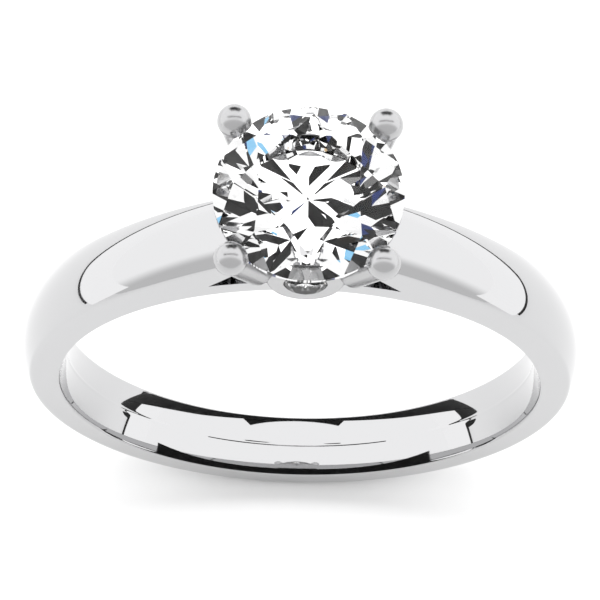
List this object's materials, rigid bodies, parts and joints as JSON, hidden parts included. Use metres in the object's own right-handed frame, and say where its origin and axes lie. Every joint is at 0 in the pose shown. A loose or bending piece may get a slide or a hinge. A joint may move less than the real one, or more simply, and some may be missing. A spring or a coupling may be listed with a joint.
{
  "type": "engagement ring",
  "caption": "Cathedral solitaire finger ring: domed tapering shank, pronged head with a round brilliant, and small bezel-set stones under it.",
  "frame": {"origin": "centre of the finger hole, halfway along the finger", "axes": "+Y along the finger's axis, +Z from the finger up through the large stone, +X across the ring; the ring is seen from the front looking along +Y"},
  "size_m": [0.02, 0.0066, 0.024],
  "materials": {
    "polished_white_gold": "mirror polished, rhodium plated white gold",
    "colourless_stone": "polished facets"
  },
  "bodies": {
    "root": {"shank": "polished_white_gold", "gallery_wire_left": "polished_white_gold", "gallery_wire_right": "polished_white_gold", "prong_front_left": "polished_white_gold", "prong_front_right": "polished_white_gold", "prong_back_left": "polished_white_gold", "prong_back_right": "polished_white_gold", "collar_front": "polished_white_gold", "collar_back": "polished_white_gold", "centre_stone": "colourless_stone", "accent_stone_front": "colourless_stone", "accent_stone_back": "colourless_stone"}
  },
  "joints": []
}
